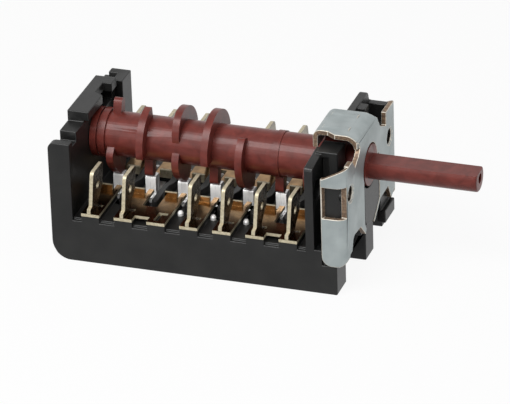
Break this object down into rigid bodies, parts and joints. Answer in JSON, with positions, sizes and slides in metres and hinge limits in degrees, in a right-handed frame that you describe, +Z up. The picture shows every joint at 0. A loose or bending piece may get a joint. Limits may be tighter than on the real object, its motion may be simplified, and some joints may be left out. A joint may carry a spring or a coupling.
{
  "type": "oven selector switch",
  "caption": "Rotary cam switch for an oven: open moulded base with rows of blade tabs, a cam moulding with a D-shaft, and a pressed bracket with two screw holes.",
  "frame": {"origin": "shaft axis at the outer face of the mounting bracket", "axes": "+X along the shaft towards the knob, +Z up away from the base floor, -Y towards the front terminal row"},
  "size_m": [0.092, 0.0359, 0.0338],
  "materials": {
    "black_thermoset": "satin moulded",
    "red_brown_thermoset": "semi-gloss moulded",
    "zinc_plated_steel": "bright zinc plated",
    "terminal_brass": "rolled",
    "tab_brass": "tinned, punched edges",
    "silver_plate": "silver plated",
    "spring_steel": "drawn wire",
    "ball_steel": "polished"
  },
  "bodies": {
    "housing": {"base": "black_thermoset", "mounting_bracket": "zinc_plated_steel", "front_strip_1": "terminal_brass", "front_strip_2_3": "terminal_brass", "front_strip_4": "terminal_brass", "front_strip_5": "terminal_brass", "front_strip_6_7": "terminal_brass", "rear_strip_1": "terminal_brass", "rear_strip_2": "terminal_brass", "rear_strip_3_4": "terminal_brass", "rear_strip_5": "terminal_brass", "rear_strip_6_7": "terminal_brass", "front_tab_1": "tab_brass", "front_tab_2": "tab_brass", "front_tab_4": "tab_brass", "front_tab_5": "tab_brass", "front_tab_6": "tab_brass", "front_tab_7": "tab_brass", "rear_tab_1": "tab_brass", "rear_tab_2": "tab_brass", "rear_tab_3": "tab_brass", "rear_tab_5": "tab_brass", "rear_tab_6": "tab_brass", "rear_tab_7": "tab_brass", "contact_spring_1": "spring_steel", "contact_spring_2": "spring_steel", "contact_spring_3": "spring_steel", "contact_spring_4": "spring_steel", "contact_spring_5": "spring_steel", "contact_spring_6": "spring_steel", "contact_spring_7": "spring_steel", "detent_spring": "spring_steel", "front_rivets": "silver_plate", "rear_rivets": "silver_plate"},
    "camshaft": {"camshaft": "red_brown_thermoset"},
    "bridge_1": {"bridge_contact_1": "silver_plate"},
    "bridge_2": {"bridge_contact_2": "silver_plate"},
    "bridge_3": {"bridge_contact_3": "silver_plate"},
    "bridge_4": {"bridge_contact_4": "silver_plate"},
    "bridge_5": {"bridge_contact_5": "silver_plate"},
    "bridge_6": {"bridge_contact_6": "silver_plate"},
    "bridge_7": {"bridge_contact_7": "silver_plate"},
    "detent": {"detent_ball": "ball_steel"}
  },
  "joints": [
    {"name": "camshaft_turn", "type": "hinge", "parent": "housing", "child": "camshaft", "pos_m": [0, 0, 0], "axis": [1, 0, 0], "continuous": true},
    {"name": "bridge_1_travel", "type": "slide", "parent": "housing", "child": "bridge_1", "axis": [0, 0, -1], "range_m": [0, 0.0006], "stiffness_N_per_m": 400, "springref_m": -0.0015, "deforming": ["contact_spring_1"]},
    {"name": "bridge_2_travel", "type": "slide", "parent": "housing", "child": "bridge_2", "axis": [0, 0, -1], "range_m": [0, 0.0006], "stiffness_N_per_m": 400, "springref_m": -0.0015, "deforming": ["contact_spring_2"]},
    {"name": "bridge_3_travel", "type": "slide", "parent": "housing", "child": "bridge_3", "axis": [0, 0, -1], "range_m": [0, 0.0006], "stiffness_N_per_m": 400, "springref_m": -0.0015, "deforming": ["contact_spring_3"]},
    {"name": "bridge_4_travel", "type": "slide", "parent": "housing", "child": "bridge_4", "axis": [0, 0, -1], "range_m": [0, 0.0006], "stiffness_N_per_m": 400, "springref_m": -0.0015, "deforming": ["contact_spring_4"]},
    {"name": "bridge_5_travel", "type": "slide", "parent": "housing", "child": "bridge_5", "axis": [0, 0, -1], "range_m": [0, 0.0006], "stiffness_N_per_m": 400, "springref_m": -0.0015, "deforming": ["contact_spring_5"]},
    {"name": "bridge_6_travel", "type": "slide", "parent": "housing", "child": "bridge_6", "axis": [0, 0, -1], "range_m": [0, 0.0006], "stiffness_N_per_m": 400, "springref_m": -0.0015, "deforming": ["contact_spring_6"]},
    {"name": "bridge_7_travel", "type": "slide", "parent": "housing", "child": "bridge_7", "axis": [0, 0, -1], "range_m": [0, 0.0006], "stiffness_N_per_m": 400, "springref_m": -0.0015, "deforming": ["contact_spring_7"]},
    {"name": "detent_travel", "type": "slide", "parent": "housing", "child": "detent", "axis": [0, 0, -1], "range_m": [0, 0.001], "stiffness_N_per_m": 1500, "springref_m": -0.0015, "deforming": ["detent_spring"]}
  ]
}
